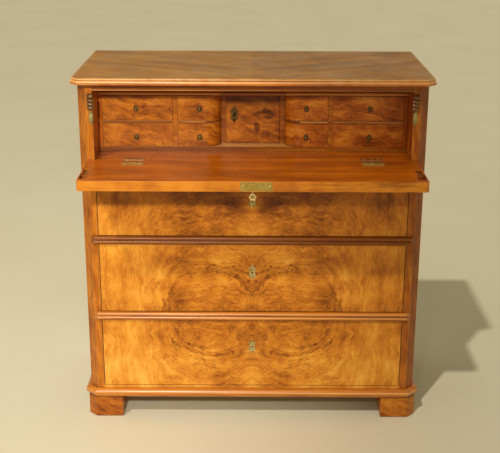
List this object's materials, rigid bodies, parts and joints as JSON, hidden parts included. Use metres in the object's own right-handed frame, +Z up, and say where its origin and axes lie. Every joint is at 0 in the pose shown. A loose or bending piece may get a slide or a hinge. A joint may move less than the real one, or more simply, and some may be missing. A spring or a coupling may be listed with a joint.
{
  "type": "secretaire chest",
  "caption": "Chest of long drawers with a fall flap that opens level with a writing floor, before a gallery of small drawers and a recessed door.",
  "frame": {"origin": "on the ground, at the middle of the object's box with the flap open", "axes": "+Z up, the drawer fronts face -Y, +X to the right as seen from the front"},
  "size_m": [1.108, 0.729, 1.146],
  "materials": {
    "top_veneer": "polished walnut veneer, book-matched",
    "carcase_veneer": "polished walnut veneer",
    "post_veneer": "polished walnut veneer",
    "moulding_wood": "polished solid walnut",
    "drawer_veneer": "polished burr walnut veneer",
    "small_drawer_veneer": "polished walnut veneer",
    "door_veneer": "polished burr walnut veneer",
    "inner_veneer": "polished walnut veneer",
    "flap_veneer": "polished walnut veneer, grain along the length",
    "secondary_wood": "plain planed softwood",
    "dark_mount": "black polished wood",
    "brass": "aged brass",
    "iron": "aged iron"
  },
  "bodies": {
    "carcase": {"back_panel": "secondary_wood", "bottom_board": "post_veneer", "compartment_linings": "inner_veneer", "corbel_drops": "brass", "corbel_scrolls": "dark_mount", "drawer_rails": "post_veneer", "drawer_runners": "secondary_wood", "feet": "post_veneer", "frieze_rail": "post_veneer", "gallery_base": "inner_veneer", "gallery_cheeks": "inner_veneer", "gallery_dividers": "inner_veneer", "gallery_fascia": "inner_veneer", "gallery_shelves": "inner_veneer", "gallery_top": "inner_veneer", "hinge_leaves_fixed": "brass", "hinge_pins": "brass", "plinth_moulding": "moulding_wood", "post_left": "post_veneer", "post_right": "post_veneer", "rail_mouldings": "moulding_wood", "side_left": "carcase_veneer", "side_right": "carcase_veneer", "top_board": "top_veneer", "writing_floor": "inner_veneer"},
    "door": {"door_escutcheon": "brass", "door_panel": "door_veneer", "door_pins": "iron"},
    "drawer_1": {"drawer_1_box": "secondary_wood", "drawer_1_front": "drawer_veneer", "drawer_1_lock": "brass"},
    "drawer_2": {"drawer_2_box": "secondary_wood", "drawer_2_front": "drawer_veneer", "drawer_2_lock": "brass"},
    "drawer_3": {"drawer_3_box": "secondary_wood", "drawer_3_front": "drawer_veneer", "drawer_3_lock": "brass"},
    "bolt": {"flap_bolt": "iron"},
    "flap": {"flap_escutcheon": "brass", "flap_lock_case": "brass", "flap_panel": "flap_veneer", "hinge_leaves_moving": "brass"},
    "key": {"flap_key": "iron"},
    "lower_inner_left": {"lower_inner_left_drawer": "small_drawer_veneer", "lower_inner_left_knob": "brass"},
    "lower_inner_right": {"lower_inner_right_drawer": "small_drawer_veneer", "lower_inner_right_knob": "brass"},
    "lower_outer_left": {"lower_outer_left_drawer": "small_drawer_veneer", "lower_outer_left_knob": "brass"},
    "lower_outer_right": {"lower_outer_right_drawer": "small_drawer_veneer", "lower_outer_right_knob": "brass"},
    "upper_inner_left": {"upper_inner_left_drawer": "small_drawer_veneer", "upper_inner_left_knob": "brass"},
    "upper_inner_right": {"upper_inner_right_drawer": "small_drawer_veneer", "upper_inner_right_knob": "brass"},
    "upper_outer_left": {"upper_outer_left_drawer": "small_drawer_veneer", "upper_outer_left_knob": "brass"},
    "upper_outer_right": {"upper_outer_right_drawer": "small_drawer_veneer", "upper_outer_right_knob": "brass"}
  },
  "joints": [
    {"name": "flap_fall", "type": "hinge", "parent": "carcase", "child": "flap", "pos_m": [0, -0.1309, 0.884], "axis": [1, 0, 0], "range_deg": [-90, 0]},
    {"name": "key_turn", "type": "hinge", "parent": "flap", "child": "key", "pos_m": [0, -0.3325, 0.852], "axis": [0, 0, 1], "range_deg": [0, 90]},
    {"name": "bolt_slide", "type": "slide", "parent": "flap", "child": "bolt", "axis": [0, -1, 0], "range_m": [0, 0.012]},
    {"name": "drawer_1_slide", "type": "slide", "parent": "carcase", "child": "drawer_1", "axis": [0, -1, 0], "range_m": [0, 0.19]},
    {"name": "drawer_2_slide", "type": "slide", "parent": "carcase", "child": "drawer_2", "axis": [0, -1, 0], "range_m": [0, 0.33]},
    {"name": "drawer_3_slide", "type": "slide", "parent": "carcase", "child": "drawer_3", "axis": [0, -1, 0], "range_m": [0, 0.33]},
    {"name": "lower_inner_left_slide", "type": "slide", "parent": "carcase", "child": "lower_inner_left", "axis": [0, -1, 0], "range_m": [0, 0.18]},
    {"name": "lower_inner_right_slide", "type": "slide", "parent": "carcase", "child": "lower_inner_right", "axis": [0, -1, 0], "range_m": [0, 0.18]},
    {"name": "lower_outer_left_slide", "type": "slide", "parent": "carcase", "child": "lower_outer_left", "axis": [0, -1, 0], "range_m": [0, 0.18]},
    {"name": "lower_outer_right_slide", "type": "slide", "parent": "carcase", "child": "lower_outer_right", "axis": [0, -1, 0], "range_m": [0, 0.18]},
    {"name": "upper_inner_left_slide", "type": "slide", "parent": "carcase", "child": "upper_inner_left", "axis": [0, -1, 0], "range_m": [0, 0.18]},
    {"name": "upper_inner_right_slide", "type": "slide", "parent": "carcase", "child": "upper_inner_right", "axis": [0, -1, 0], "range_m": [0, 0.18]},
    {"name": "upper_outer_left_slide", "type": "slide", "parent": "carcase", "child": "upper_outer_left", "axis": [0, -1, 0], "range_m": [0, 0.18]},
    {"name": "upper_outer_right_slide", "type": "slide", "parent": "carcase", "child": "upper_outer_right", "axis": [0, -1, 0], "range_m": [0, 0.18]},
    {"name": "door_swing", "type": "hinge", "parent": "carcase", "child": "door", "pos_m": [0.0833, 0.0375, 0.8996], "axis": [0, 0, 1], "range_deg": [0, 95]}
  ],
  "couplings": [
    {"joint": "key_turn", "follows": "bolt_slide", "rad_per_m": 130.9}
  ]
}
